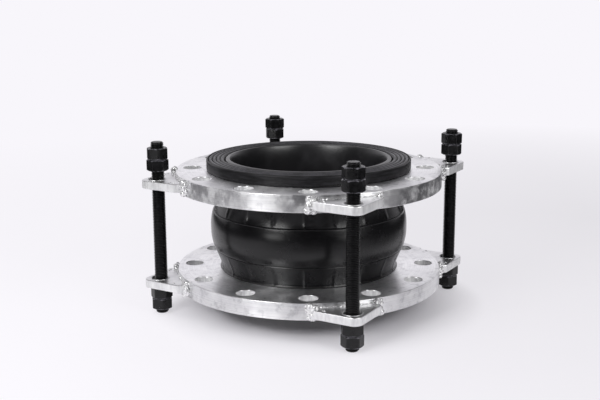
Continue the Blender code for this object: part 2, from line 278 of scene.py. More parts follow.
def noise(tree, vector, scale, detail=4.0, roughness=0.55):
    """Cloudy noise, about 0.5 in the middle."""
    inputs = {"Vector": vector, "Scale": scale, "Detail": detail, "Roughness": roughness}
    return add(tree, "ShaderNodeTexNoise", inputs).outputs["Fac"]


def spread(tree, value, low, high, new_low, new_high):
    """Maps low..high to new_low..new_high and holds the ends."""
    inputs = {0: value, 1: low, 2: high, 3: new_low, 4: new_high}
    return add(tree, "ShaderNodeMapRange", inputs).outputs[0]


def blend_colours(tree, factor, first, second):
    """The first colour where the factor is 0, the second where it is 1."""
    inputs = {0: factor, 6: first, 7: second}
    return add(tree, "ShaderNodeMix", inputs, data_type="RGBA").outputs[2]


def stretched(tree, vector, scale, turn=0.0):
    """Coordinates that are turned about Z and scaled along each axis."""
    inputs = {"Vector": vector, "Rotation": (0.0, 0.0, turn), "Scale": scale}
    return add(tree, "ShaderNodeMapping", inputs).outputs[0]


def bump(tree, height, strength, distance, normal=None):
    """A normal that follows a height, on top of another one if there is one."""
    inputs = {"Height": height, "Strength": strength, "Distance": distance}
    if normal is not None:
        inputs["Normal"] = normal
    return add(tree, "ShaderNodeBump", inputs).outputs["Normal"]


def dim(level):
    """A near black with the faint violet cast of the real one."""
    return (level * 1.03, level, level * 1.14, 1.0)


def radius_of(tree, place):
    """Distance from the object's own Z axis."""
    x, y, _ = add(tree, "ShaderNodeSeparateXYZ", {0: place}).outputs
    squares = calc(tree, "ADD", calc(tree, "MULTIPLY", x, x), calc(tree, "MULTIPLY", y, y))
    return calc(tree, "SQRT", squares)


def new_material(name):
    """A material with its node tree, its shader and the object's own coordinates."""
    material = bpy.data.materials.new(name)
    material.use_nodes = True
    tree = material.node_tree
    shader = tree.nodes["Principled BSDF"]
    place = add(tree, "ShaderNodeTexCoord").outputs["Object"]
    return material, tree, shader, place


def connect(tree, shader, **sources):
    """Links outputs to the shader's sockets, named with an underscore for each blank."""
    for name, source in sources.items():
        socket = shader.inputs[name.replace("_", " ")]
        tree.links.new(source, socket)


# Materials


def flange_zinc():
    """Turned and zinc plated plate: fine lines run round the axis, and bloom dulls the rim in patches."""
    material, tree, shader, place = new_material("flange_zinc")
    x, y, z = add(tree, "ShaderNodeSeparateXYZ", {0: place}).outputs
    radius = radius_of(tree, place)
    turn = calc(tree, "ARCTAN2", y, x)
    across = {
        0: calc(tree, "MULTIPLY", radius, 900.0),
        1: calc(tree, "MULTIPLY", z, 900.0),
        2: calc(tree, "MULTIPLY", turn, 1.6),
    }
    lines = noise(tree, add(tree, "ShaderNodeCombineXYZ", across).outputs[0], 1.0, 5.0, 0.7)
    cloud = noise(tree, place, 34.0, 4.0)
    smudge = noise(tree, place, 95.0, 6.0, 0.65)
    speck = noise(tree, place, 700.0, 2.0)
    shade = spread(tree, weighed(tree, lines, 0.45, cloud, 0.55), 0.38, 0.60, 0.0, 1.0)
    dull = (0.68, 0.68, 0.695, 1.0)
    bright = (0.94, 0.94, 0.945, 1.0)
    stain = (0.40, 0.40, 0.42, 1.0)
    clean = blend_colours(tree, shade, dull, bright)
    colour = blend_colours(tree, spread(tree, smudge, 0.52, 0.68, 0.0, 0.55), clean, stain)
    wear = weighed(tree, cloud, 0.7, smudge, 0.5)
    rough = spread(tree, weighed(tree, wear, 1.0, speck, 0.2), 0.45, 0.95, 0.26, 0.42)
    bloom = spread(tree, noise(tree, place, 62.0, 5.0, 0.65), 0.44, 0.62, 0.0, 0.55)
    on_rim = spread(tree, radius, *RIM_FADE, 0.0, 1.0)
    metal = calc(tree, "SUBTRACT", 1.0, calc(tree, "MULTIPLY", bloom, on_rim))
    connect(tree, shader, Base_Color=colour, Metallic=metal, Roughness=rough)
    connect(tree, shader, Normal=bump(tree, lines, 0.18, 0.00025))
    tangent = add(tree, "ShaderNodeTangent", direction_type="RADIAL", axis="Z").outputs[0]
    tree.links.new(tangent, shader.inputs["Tangent"])
    shader.inputs["Anisotropic"].default_value = 0.8
    shader.inputs["Anisotropic Rotation"].default_value = 0.25
    return material


def lug_zinc():
    """Cut plate under the same zinc, with a finer cloudy grain and faint scratches."""
    material, tree, shader, place = new_material("lug_zinc")
    cloud = noise(tree, place, 60.0, 5.0)
    grain = noise(tree, place, 900.0, 3.0)
    scratch = noise(tree, stretched(tree, place, (1.0, 14.0, 1.0), 0.5), 90.0, 5.0, 0.7)
    shade = spread(tree, weighed(tree, cloud, 0.6, scratch, 0.4), 0.36, 0.62, 0.0, 1.0)
    colour = blend_colours(tree, shade, (0.70, 0.70, 0.715, 1.0), (0.88, 0.88, 0.885, 1.0))
    rough = spread(tree, weighed(tree, scratch, 1.0, grain, 0.3), 0.4, 0.9, 0.30, 0.46)
    fine = bump(tree, grain, 0.12, 0.0002)
    connect(tree, shader, Base_Color=colour, Roughness=rough, Normal=bump(tree, scratch, 0.12, 0.0003, fine))
    shader.inputs["Metallic"].default_value = 1.0
    return material


def cut_zinc():
    """The flame cut edges of the lugs: rough, so they shine evenly."""
    material, tree, shader, place = new_material("cut_zinc")
    streak = noise(tree, stretched(tree, place, (1.0, 1.0, 0.12)), 320.0, 4.0, 0.6)
    cloud = noise(tree, place, 80.0, 4.0)
    shade = spread(tree, weighed(tree, streak, 0.5, cloud, 0.5), 0.36, 0.60, 0.0, 1.0)
    colour = blend_colours(tree, shade, (0.74, 0.74, 0.755, 1.0), (0.96, 0.96, 0.965, 1.0))
    rough = spread(tree, streak, 0.3, 0.7, 0.46, 0.62)
    connect(tree, shader, Base_Color=colour, Roughness=rough, Normal=bump(tree, streak, 0.15, 0.0003))
    shader.inputs["Metallic"].default_value = 0.55
    return material


def bore_zinc_painted_reflection():
    """The drilled walls of the holes: pale zinc, painted near white with streaks that run along the drill's
    way, a painted reflection of the lamps.
    """
    material, tree, shader, place = new_material("bore_zinc_painted_reflection")
    streak = noise(tree, stretched(tree, place, (1.0, 1.0, 0.08)), 240.0, 3.0, 0.6)
    fine = noise(tree, place, 900.0, 2.0)
    shade = spread(tree, streak, 0.36, 0.62, 0.0, 1.0)
    # Partly the zinc's own paleness, partly painted reflection: near white, lighter in upright streaks
    colour = blend_colours(tree, shade, (0.70, 0.70, 0.715, 1.0), (0.98, 0.98, 0.98, 1.0))
    rough = spread(tree, streak, 0.3, 0.7, 0.28, 0.46)
    connect(tree, shader, Base_Color=colour, Roughness=rough, Normal=bump(tree, fine, 0.1, 0.0002))
    shader.inputs["Metallic"].default_value = 0.15
    return material


def weld_zinc():
    """A plated weld bead: bright tops, darker pits."""
    material, tree, shader, place = new_material("weld_zinc")
    ripple = noise(tree, place, 260.0, 3.0)
    pit = noise(tree, place, 520.0, 4.0, 0.6)
    shade = spread(tree, pit, 0.34, 0.50, 0.0, 1.0)
    colour = blend_colours(tree, shade, (0.46, 0.46, 0.475, 1.0), (0.95, 0.95, 0.95, 1.0))
    rough = spread(tree, ripple, 0.35, 0.7, 0.24, 0.40)
    fine = bump(tree, pit, 0.25, 0.0003)
    connect(tree, shader, Base_Color=colour, Roughness=rough, Normal=bump(tree, ripple, 0.3, 0.0008, fine))
    shader.inputs["Metallic"].default_value = 0.75
    return material


def rubber(name, dark, light, rough_low, rough_high, grain_strength, specular):
    """Moulded rubber: cloudy bloom, a satin skin and a fine grain."""
    material, tree, shader, place = new_material(name)
    cloud = noise(tree, place, 22.0, 5.0, 0.6)
    smear = noise(tree, place, 75.0, 4.0, 0.6)
    grain = noise(tree, place, 1500.0, 2.0)
    skin = noise(tree, place, 210.0, 3.0)
    patches = spread(tree, cloud, 0.42, 0.68, 0.0, 1.0)
    bloom = calc(tree, "MULTIPLY", patches, spread(tree, smear, 0.3, 0.7, 0.35, 1.0))
    colour = blend_colours(tree, bloom, dim(dark), dim(light))
    rough = spread(tree, weighed(tree, bloom, 1.0, skin, 0.5), 0.1, 1.2, rough_low, rough_high)
    fine = bump(tree, grain, grain_strength, 0.00025)
    connect(tree, shader, Base_Color=colour, Roughness=rough, Normal=bump(tree, skin, 0.05, 0.0006, fine))
    shader.inputs["Specular IOR Level"].default_value = specular
    return material


def lip_rubber():
    """The sealing lip: matt rubber scuffed round its side, with a painted highlight: pale lines painted on
    the crests of its beads.
    """
    material = rubber("lip_rubber", 0.004, 0.008, 0.40, 0.54, 0.14, 0.26)
    tree = material.node_tree
    shader = tree.nodes["Principled BSDF"]
    place = add(tree, "ShaderNodeTexCoord").outputs["Object"]
    crest = add(tree, "ShaderNodeAttribute", attribute_name=PAINTED_CREST_HIGHLIGHT).outputs["Fac"]
    crest_highlight = calc(tree, "MULTIPLY", crest, spread(tree, noise(tree, place, 60.0, 4.0), 0.38, 0.60, 0.35, 1.0))
    plain = shader.inputs["Base Color"].links[0].from_socket
    x, y, z = add(tree, "ShaderNodeSeparateXYZ", {0: place}).outputs
    around = calc(tree, "ARCTAN2", y, x)
    round_way = {0: calc(tree, "MULTIPLY", around, 5.0), 1: calc(tree, "MULTIPLY", z, 420.0)}
    streak = noise(tree, add(tree, "ShaderNodeCombineXYZ", round_way).outputs[0], 1.0, 5.0, 0.65)
    scuffed = blend_colours(tree, spread(tree, streak, 0.42, 0.64, 0.0, 1.0), plain, dim(0.024))
    # Painted highlight: the bead crests are painted pale
    connect(tree, shader, Base_Color=blend_colours(tree, crest_highlight, scuffed, dim(0.16)))
    return material


def cord_fabric():
    """Rubbered cord plies: two crossing sets of fine cords."""
    material, tree, shader, place = new_material("cord_fabric")
    x, y, z = add(tree, "ShaderNodeSeparateXYZ", {0: place}).outputs
    around = calc(tree, "MULTIPLY", calc(tree, "ARCTAN2", y, x), 0.11)
    up = calc(tree, "ADD", around, z)
    down = calc(tree, "SUBTRACT", around, z)
    cords_up = calc(tree, "SINE", calc(tree, "MULTIPLY", up, 3600.0))
    cords_down = calc(tree, "SINE", calc(tree, "MULTIPLY", down, 3600.0))
    weave = spread(tree, calc(tree, "MAXIMUM", cords_up, cords_down), 0.0, 1.0, 0.0, 1.0)
    colour = blend_colours(tree, weave, (0.03, 0.03, 0.032, 1.0), (0.16, 0.15, 0.13, 1.0))
    connect(tree, shader, Base_Color=colour, Normal=bump(tree, weave, 0.5, 0.0006))
    shader.inputs["Roughness"].default_value = 0.8
    return material


def bead_wire():
    """Drawn steel wire in the lips."""
    material, tree, shader, place = new_material("bead_wire")
    cloud = noise(tree, place, 120.0, 5.0)
    colour = blend_colours(tree, cloud, (0.20, 0.19, 0.18, 1.0), (0.46, 0.45, 0.43, 1.0))
    rough = spread(tree, cloud, 0.3, 0.7, 0.3, 0.5)
    connect(tree, shader, Base_Color=colour, Roughness=rough)
    shader.inputs["Metallic"].default_value = 1.0
    return material


def black_oxide(name, dark, light, rough_low, rough_high):
    """Blackened steel with an oily sheen and grey wear specks."""
    material, tree, shader, place = new_material(name)
    cloud = noise(tree, place, 160.0, 5.0, 0.6)
    wear = noise(tree, place, 620.0, 5.0, 0.7)
    colour = blend_colours(tree, spread(tree, cloud, 0.4, 0.7, 0.0, 1.0), dim(dark), dim(light))
    colour = blend_colours(tree, spread(tree, wear, 0.62, 0.74, 0.0, 0.55), colour, dim(0.06))
    rough = spread(tree, cloud, 0.3, 0.7, rough_low, rough_high)
    connect(tree, shader, Base_Color=colour, Roughness=rough, Normal=bump(tree, wear, 0.12, 0.0002))
    shader.inputs["Specular IOR Level"].default_value = 0.36
    return material


def nut_oxide():
    """The nuts' black, with a painted highlight: grey painted in patches on the chamfers."""
    material = black_oxide("nut_black_oxide", 0.003, 0.008, 0.24, 0.40)
    tree = material.node_tree
    shader = tree.nodes["Principled BSDF"]
    place = add(tree, "ShaderNodeTexCoord").outputs["Object"]
    height = calc(tree, "ABSOLUTE", add(tree, "ShaderNodeSeparateXYZ", {0: place}).outputs[2])
    reach = calc(tree, "SUBTRACT", radius_of(tree, place), NUT_FACE_RADIUS)
    slope = calc(tree, "ADD", height, calc(tree, "MULTIPLY", reach, math.tan(NUT_CHAMFER_ANGLE)))
    edge = spread(tree, slope, *NUT_LIT_CHAMFER_HEIGHT, 0.0, 1.0)
    edge = calc(tree, "MULTIPLY", edge, spread(tree, reach, *NUT_LIT_CHAMFER_REACH, 0.0, 1.0))
    edge = calc(tree, "MULTIPLY", edge, spread(tree, noise(tree, place, 300.0, 4.0), 0.38, 0.60, 0.0, 1.0))
    plain = shader.inputs["Base Color"].links[0].from_socket
    # Painted highlight: grey painted on the chamfers
    connect(tree, shader, Base_Color=blend_colours(tree, edge, plain, dim(0.16)))
    return material


FINISH = {
    "flange_zinc": flange_zinc(),
    "lug_zinc": lug_zinc(),
    "bore_zinc_painted_reflection": bore_zinc_painted_reflection(),
    "cut_zinc": cut_zinc(),
    "weld_zinc": weld_zinc(),
    "cover_rubber": rubber("cover_rubber", 0.004, 0.008, 0.21, 0.34, 0.05, 0.42),
    "lip_rubber": lip_rubber(),
    "liner_rubber": rubber("liner_rubber", 0.010, 0.026, 0.30, 0.44, 0.05, 0.80),
    "cord_fabric": cord_fabric(),
    "bead_wire": bead_wire(),
    "rod_black_oxide": black_oxide("rod_black_oxide", 0.003, 0.007, 0.28, 0.42),
    "nut_black_oxide": nut_oxide(),
}


# Mesh helpers


def mesh_from(name, shape, sharp_degrees):
    """Turns a bmesh into a smooth mesh that is sharp at edges steeper than sharp_degrees."""
    bmesh.ops.recalc_face_normals(shape, faces=shape.faces[:])
    mesh = bpy.data.meshes.new(name)
    shape.to_mesh(mesh)
    shape.free()
    for polygon in mesh.polygons:
        polygon.use_smooth = True
    mesh.set_sharp_from_angle(angle=math.radians(sharp_degrees))
    return mesh


def settled(holder):
    """Works out an object's curve or modifiers into a bmesh, and removes the object."""
    bpy.context.scene.collection.objects.link(holder)
    bpy.context.view_layer.update()
    graph = bpy.context.evaluated_depsgraph_get()
    raw = bpy.data.meshes.new_from_object(holder.evaluated_get(graph))
    bpy.data.objects.remove(holder)
    shape = bmesh.new()
    shape.from_mesh(raw)
    bpy.data.meshes.remove(raw)
    return shape


def turned(radius, angle, height):
    """The point at a radius and an angle about the Z axis."""
    return (radius * math.cos(angle), radius * math.sin(angle), height)


def join_rings(shape, rings):
    """Joins closed rings of points, the last to the first; lists each face with its place in the ring."""
    joined = []
    count = len(rings[0])
    for this, following in zip(rings, rings[1:] + rings[:1]):
        for k in range(count):
            after = (k + 1) % count
            face = shape.faces.new((this[k], following[k], following[after], this[after]))
            joined.append((face, k))
    return joined


def place_piece(name, mesh, finishes, matrix):
    """Adds a piece to the scene; finishes holds one material name per slot of the mesh."""
    piece = bpy.data.objects.new(name, mesh)
    bpy.context.scene.collection.objects.link(piece)
    if not mesh.materials:
        for finish in finishes:
            mesh.materials.append(FINISH[finish])
    piece.matrix_world = matrix
    return piece


def circle(centre, radius, steps, way=1):
    """Points of a circle; holes run the other way, with way at -1."""
    points = []
    for i in range(steps):
        angle = way * 2.0 * math.pi * i / steps
        points.append((centre[0] + radius * math.cos(angle), centre[1] + radius * math.sin(angle)))
    return points


def arc(centre_x, radius, first, last, steps):
    """Points of an arc about a centre on the X axis, from the first angle to the last."""
    points = []
    for i in range(steps + 1):
        angle = first + (last - first) * i / steps
        points.append((centre_x + radius * math.cos(angle), radius * math.sin(angle)))
    return points


def plate_mesh(name, outlines, thickness, bevel):
    """A flat plate with holes and small bevels on every edge."""
    curve = bpy.data.curves.new(name, "CURVE")
    curve.dimensions = "2D"
    curve.fill_mode = "BOTH"
    curve.extrude = thickness / 2 - bevel
    curve.bevel_depth = bevel
    curve.bevel_resolution = 1
    curve.offset = -bevel
    for outline in outlines:
        spline = curve.splines.new("POLY")
        spline.points.add(len(outline) - 1)
        for point, (x, y) in zip(spline.points, outline):
            point.co = (x, y, 0.0, 1.0)
        spline.use_cyclic_u = True
    shape = settled(bpy.data.objects.new(name, curve))
    bpy.data.curves.remove(curve)
    bmesh.ops.remove_doubles(shape, verts=shape.verts[:], dist=PLATE_MERGE)
    mesh = mesh_from(name, shape, PLATE_SHARP_DEGREES)
    mesh.materials.clear()
    return mesh


def lathe(name, profile, columns):
    """Sweeps a closed profile of (radius, height, rib weight, material) points round the axis.

    Each column has its angle and how far it stands on a rib, from 0 to 1.
    """
    shape = bmesh.new()
    rings = []
    for angle, line in columns:
        ring = []
        for radius, height, weight, _ in profile:
            reach = radius + MOULD_LINE_RISE * line * weight
            ring.append(shape.verts.new(turned(reach, angle, height)))
        rings.append(ring)
    for face, k in join_rings(shape, rings):
        face.material_index = profile[k][3]
    return mesh_from(name, shape, RUBBER_SHARP_DEGREES)


# Flanges and lugs


def flange_piece(end):
    """The plate flange at one end, with drilled walls in its bolt holes."""
    rim = circle((0.0, 0.0), FLANGE_RADIUS, FLANGE_STEPS)
    bore = circle((0.0, 0.0), FLANGE_BORE_RADIUS, BORE_STEPS, -1)
    outlines = [rim, bore]
    for k in range(BOLT_HOLES):
        angle = 2.0 * math.pi * (k + 0.5) / BOLT_HOLES
        centre = (BOLT_CIRCLE_RADIUS * math.cos(angle), BOLT_CIRCLE_RADIUS * math.sin(angle))
        outlines.append(circle(centre, BOLT_HOLE_RADIUS, HOLE_STEPS, -1))
    mesh = plate_mesh(end + "_flange_plate", outlines, FLANGE_THICKNESS, FLANGE_BEVEL)
    for face in mesh.polygons:
        off_circle = abs(face.center.xy.length - BOLT_CIRCLE_RADIUS)
        if abs(face.normal.z) < WALL_NORMAL and off_circle < BOLT_HOLE_RADIUS:
            face.material_index = 1
    low, high = FLANGE_BOX[end]
    spot = Matrix.Translation((0.0, 0.0, (low.z + high.z) / 2))
    piece = place_piece(end + "_flange_plate", mesh, ["flange_zinc", "bore_zinc_painted_reflection"], spot)
    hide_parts(end + "_flange")
    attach(piece, end + "_end")


def lug_outlines():
    """The lug's outline and its rod hole: slanted sides that meet in a rounded tip."""
    root = FLANGE_RADIUS - LUG_SINK
    root_angle = math.asin(LUG_HALF_WIDTH / root)
    shoulder = LUG_APEX_RADIUS - LUG_HALF_WIDTH / math.tan(LUG_SIDE_ANGLE)
    tip_centre = LUG_APEX_RADIUS - LUG_TIP_RADIUS / math.sin(LUG_SIDE_ANGLE)
    tip_angle = math.pi / 2 - LUG_SIDE_ANGLE
    outline = arc(0.0, root, root_angle, -root_angle, LUG_ROOT_STEPS)
    outline.append((shoulder, -LUG_HALF_WIDTH))
    outline += arc(tip_centre, LUG_TIP_RADIUS, -tip_angle, tip_angle, LUG_TIP_STEPS)
    outline.append((shoulder, LUG_HALF_WIDTH))
    return [outline, circle((ROD_CIRCLE_RADIUS, 0.0), LUG_HOLE_RADIUS, HOLE_STEPS, -1)]


def weld_mesh(name, seed, rim_drop):
    """A hand laid bead round the root of a lug, in the lug's own heights.

    Thin runs follow the two long seams, heavy lumps fill the corners at the ends, and a little spatter
    lies about. The middle of the flange's rim lies rim_drop below the lug's.
    """
    dice = random.Random(seed)
    shape = bmesh.new()
    seam = LUG_THICKNESS / 2
    rim_half = FLANGE_THICKNESS / 2

    def blob(radius, across, height, size):
        along = math.sqrt(radius * radius - across * across)
        stretch = Matrix.Diagonal((1.0, dice.uniform(*BLOB_WIDTH), dice.uniform(*BLOB_HEIGHT), 1.0))
        spot = Matrix.Translation((along, across, height)) @ stretch
        bmesh.ops.create_icosphere(shape, subdivisions=2, radius=size, matrix=spot)

    for side in (-1, 1):
        across = -LUG_HALF_WIDTH
        while across < LUG_HALF_WIDTH:
            height = side * (seam + dice.uniform(*RUN_LIFT))
            reach = FLANGE_RADIUS + dice.uniform(*RUN_REACH)
            blob(reach, across, height, dice.uniform(*RUN_SIZE))
            across += dice.uniform(*RUN_STEP)
    for end in (-1, 1):
        heft = LIGHT_HEFT if (name, end) in LIGHT_WELD_ENDS else 1.0
        height = max(-rim_half - rim_drop + WELD_OVER_RIM_FOOT, -seam - WELD_BELOW_LUG)
        top = min(seam + WELD_ABOVE_LUG, rim_half - rim_drop - WELD_UNDER_RIM_TOP)
        while height < top:
            for _ in range(LUMPS_PER_STEP):
                across = end * (LUG_HALF_WIDTH + dice.uniform(*LUMP_SPREAD) * heft)
                size = dice.uniform(*LUMP_SIZE) * heft
                reach = FLANGE_RADIUS + dice.uniform(*LUMP_REACH) * heft
                blob(reach, across, height + dice.uniform(*LUMP_LIFT), size)
            height += dice.uniform(*LUMP_STEP)
        for _ in range(SPATTER_DROPS):
            along = FLANGE_RADIUS + dice.uniform(*SPATTER_REACH)
            across = end * (LUG_APEX_RADIUS - along - dice.uniform(*SPATTER_INSET))
            blob(math.hypot(along, across), across, seam, dice.uniform(*SPATTER_SIZE))
    mesh = bpy.data.meshes.new(name)
    shape.to_mesh(mesh)
    shape.free()
    holder = bpy.data.objects.new(name, mesh)
    remesh = holder.modifiers.new("skin", "REMESH")
    remesh.mode = "VOXEL"
    remesh.voxel_size = WELD_VOXEL
    relax = holder.modifiers.new("relax", "SMOOTH")
    relax.factor = WELD_SMOOTHING
    relax.iterations = WELD_SMOOTHING_ROUNDS
    skin = settled(holder)
    bpy.data.meshes.remove(mesh)
    return mesh_from(name, skin, WELD_SHARP_DEGREES)


def add_burr(mesh):
    """Raises the punched burr round the lug's hole, on its upper face."""
    shape = bmesh.new()
    shape.from_mesh(mesh)
    rings = []
    for k in range(BURR_STEPS):
        turn = 2.0 * math.pi * k / BURR_STEPS
        ring = []
        for j in range(BURR_SIDES):
            angle = math.pi * j / (BURR_SIDES - 1)
            reach = LUG_HOLE_RADIUS + BURR_WIDTH * (1.0 + math.cos(angle)) / 2 + LUG_BEVEL / 2
            rise = BURR_HEIGHT * math.sin(angle) - BURR_SINK
            x = ROD_CIRCLE_RADIUS + reach * math.cos(turn)
            ring.append(shape.verts.new((x, reach * math.sin(turn), LUG_THICKNESS / 2 + rise)))
        rings.append(ring)
    join_rings(shape, rings)
    return mesh_from(mesh.name, shape, PLATE_SHARP_DEGREES)


def lug_pieces():
    """The eight lugs, all of one mesh, and their welds, each laid with dice of its own."""
    lug = add_burr(plate_mesh("lug_plate", lug_outlines(), LUG_THICKNESS, LUG_BEVEL))
    for face in lug.polygons:
        if abs(face.normal.z) < EDGE_NORMAL:
            face.material_index = 1
    seed = WELD_FIRST_SEED
    for end in ENDS:
        rim_low, rim_high = FLANGE_BOX[end]
        for side, degrees in SIDES.items():
            stem = end + "_" + side
            low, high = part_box(stem + "_lug")
            height = (low.z + high.z) / 2
            rim_drop = height - (rim_low.z + rim_high.z) / 2
            turn = Matrix.Rotation(math.radians(degrees), 4, "Z")
            spot = turn @ Matrix.Translation((0.0, 0.0, height))
            plate = place_piece(stem + "_lug_plate", lug, ["lug_zinc", "cut_zinc"], spot)
            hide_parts(stem + "_lug")
            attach(plate, end + "_end")
            mesh = weld_mesh(stem + "_weld_bead", seed, rim_drop)
            bead = place_piece(stem + "_weld_bead", mesh, ["weld_zinc"], spot)
            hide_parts(stem + "_weld")
            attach(bead, end + "_end")
            seed += 1


# Rods and nuts


def rod_radius(height, cut):
    """Radius at a height; cut is 0 on the crest of the thread and 1 in its root."""
    from_end = min(height, ROD_LENGTH - height)
    return min(THREAD_RADIUS - THREAD_DEPTH * cut, ROD_END_RADIUS + from_end)


def rod_mesh():
    """A stud with a rolled right-hand thread all along, swept along the helix."""
    turns = round(ROD_LENGTH / THREAD_PITCH)
    rows = len(THREAD_PHASES)
    shape = bmesh.new()
    columns = []
    for i in range(ROD_COLUMNS):
        share = i / ROD_COLUMNS
        angle = 2.0 * math.pi * share
        column = []
        for whole in range(turns + 3):
            for phase, cut in THREAD_PHASES:
                risen = (whole + phase + share - 1.0) * THREAD_PITCH
                height = min(ROD_LENGTH, max(0.0, risen))
                column.append(shape.verts.new(turned(rod_radius(height, cut), angle, height)))
        columns.append(column)
    length = len(columns[0])
    for i in range(ROD_COLUMNS):
        this = columns[i]
        following = columns[(i + 1) % ROD_COLUMNS]
        shift = rows if i + 1 == ROD_COLUMNS else 0
        for j in range(length - 1 - shift):
            shape.faces.new((this[j], following[j + shift], following[j + shift + 1], this[j + 1]))
    bmesh.ops.remove_doubles(shape, verts=shape.verts[:], dist=ROD_MERGE)
    rim = [edge for edge in shape.edges if edge.is_boundary]
    bmesh.ops.holes_fill(shape, edges=rim)
    return mesh_from("limit_rod", shape, ROD_SHARP_DEGREES)


def nut_mesh():
    """A hexagon nut, chamfered on both faces and countersunk, with slightly rounded corners."""
    half = NUT_HEIGHT / 2
    face = [
        (NUT_HOLE_RADIUS, half - NUT_COUNTERSINK),
        (NUT_HOLE_RADIUS + NUT_COUNTERSINK, half),
        (NUT_FACE_RADIUS, half),
    ]
    shape = bmesh.new()
    rings = []
    for facet in range(6):
        for step in NUT_FLAT_STEPS:
            angle = math.radians(60.0 * facet + 30.0 + step)
            reach = min(NUT_ACROSS_FLATS / 2 / math.cos(math.radians(step)), NUT_CORNER_RADIUS)
            shoulder = half - (reach - NUT_FACE_RADIUS) * math.tan(NUT_CHAMFER_ANGLE)
            upper = face + [(reach, shoulder)]
            outline = upper + [(radius, -height) for radius, height in reversed(upper)]
            ring = []
            for radius, height in outline:
                ring.append(shape.verts.new(turned(radius, angle, height)))
            rings.append(ring)
    join_rings(shape, rings)
    return mesh_from("hex_nut", shape, NUT_SHARP_DEGREES)


def nut_turn(node):
    """Angle of the solid nut's first corner about its own axis."""
    low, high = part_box(node)
    middle = (low + high) / 2
    arms = [vertex.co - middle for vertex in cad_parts[node].data.vertices]
    corner = max(arms, key=lambda arm: arm.xy.length)
    return math.atan2(corner.y, corner.x)


def rod_pieces():
    """The four rods, each with its four nuts at the places and turns of the solids."""
    rod = rod_mesh()
    nut = nut_mesh()
    for side in SIDES:
        low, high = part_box(side + "_rod")
        spot = Matrix.Translation(((low.x + high.x) / 2, (low.y + high.y) / 2, low.z))
        stud = place_piece(side + "_rod_stud", rod, ["rod_black_oxide"], spot)
        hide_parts(side + "_rod")
        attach(stud, side + "_rod_set")
        for kind in NUT_KINDS:
            node = side + "_" + kind
            low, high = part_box(node)
            spot = Matrix.Translation((low + high) / 2) @ Matrix.Rotation(nut_turn(node), 4, "Z")
            hexagon = place_piece(node + "_hex", nut, ["nut_black_oxide"], spot)
            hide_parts(node)
            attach(hexagon, side + "_rod_set")


# Rubber


def swell(height):
    """How far the arch rises above the neck at a height from the middle."""
    share = min(abs(height) / ARCH_HALF, 1.0)
    return ARCH_RISE * math.cos(math.pi / 2 * share ** CREST_FLATNESS) ** 2


def outside(height):
    """Radius of the moulded outside: arch, raised middle band, flare at the flange and parting grooves."""
    flare = FLARE_RISE * clamp((abs(height) - FLARE_START) / (FLARE_END - FLARE_START)) ** 2
    groove = 0.0
    for parting in PARTINGS:
        groove = max(groove, clamp(1.0 - abs(height - parting) / PARTING_HALF))
    band = BAND_STEP if PARTINGS[0] < height < PARTINGS[1] else 0.0
    return NECK_RADIUS + swell(height) + flare + band - PARTING_DEPTH * groove


def heights_between(first, last):
    """Heights from the first to the last, closer together at the parting grooves."""
    marks = {first, last}
    for parting in PARTINGS:
        for offset in (-1.0, -0.3, 0.3, 1.0):
            marks.add(parting + offset * PARTING_HALF)
    for side in (-1, 1):
        marks.add(side * FLARE_START)
        marks.add(side * (FLARE_START + FLARE_END) / 2)
    reach = int(ARCH_HALF / HEIGHT_STEP)
    for k in range(-reach, reach + 1):
        height = HEIGHT_STEP * k
        if min(abs(height - parting) for parting in PARTINGS) > 1.5 * PARTING_HALF:
            marks.add(height)
    low = min(first, last)
    high = max(first, last)
    chosen = sorted(height for height in marks if low <= height <= high)
    return chosen if first < last else chosen[::-1]


def outside_points(first, last):
    """The moulded outside; its ribs grow from the parting grooves towards the flanges."""
    points = []
    for height in heights_between(first, last):
        past = max(height - PARTINGS[1], PARTINGS[0] - height) - PARTING_HALF
        full = UPPER_RIB_WEIGHT if height > 0.0 else LOWER_RIB_WEIGHT
        weight = full * clamp(past / MOULD_LINE_TAPER) if abs(height) < MOULD_LINE_END else 0.0
        points.append((outside(height), height, weight, 0))
    return points


def layer_points(neck_radius, first, last):
    """The smooth side of a layer that has the given radius in the neck."""
    low = min(first, last)
    high = max(first, last)
    marks = {first, last}
    for k in range(-LAYER_STEPS, LAYER_STEPS + 1):
        height = ARCH_HALF * k / LAYER_STEPS
        if low < height < high:
            marks.add(height)
    chosen = sorted(marks)
    if first > last:
        chosen.reverse()
    return [(neck_radius + swell(height), height, 0.0, 0) for height in chosen]


def rounded(corner_radius, corner_height, across, down, steps=4):
    """Points round a top corner of a ring, from its side to its top, so far across and so far down."""
    points = []
    for i in range(steps + 1):
        angle = math.pi / 2 * i / steps
        radius = corner_radius - across * (1.0 - math.cos(angle))
        height = corner_height - down * (1.0 - math.sin(angle))
        points.append((radius, height))
    return points


def lip_outside():
    """The upper lip from the neck round to the seam with the liner, with the sealing beads on top."""
    rim = [(NECK_RADIUS, FLARE_END), (NECK_RADIUS, LIP_FOOT)]
    foot = rounded(LIP_RADIUS, LIP_FOOT, LIP_ROUNDING, LIP_ROUNDING)
    rim += [(radius, 2.0 * LIP_FOOT - height) for radius, height in reversed(foot)]
    rim += rounded(LIP_RADIUS, LIP_TOP, LIP_ROUNDING, LIP_ROUNDING)
    for middle in LIP_BEADS:
        for share in (1.0, 0.85, 0.5, 0.0, -0.5, -0.85):
            fall = LIP_BEAD_DEPTH * (1.0 - math.sqrt(1.0 - share * share))
            rim.append((middle + share * LIP_BEAD_HALF, LIP_TOP - fall))
    rim += [(SEAM_GROOVE_RADIUS, LIP_TOP - LIP_BEAD_DEPTH), (COVER_SEAM_RADIUS, GROOVE_FLOOR)]
    return [(radius, height, 0.0, 1) for radius, height in rim]


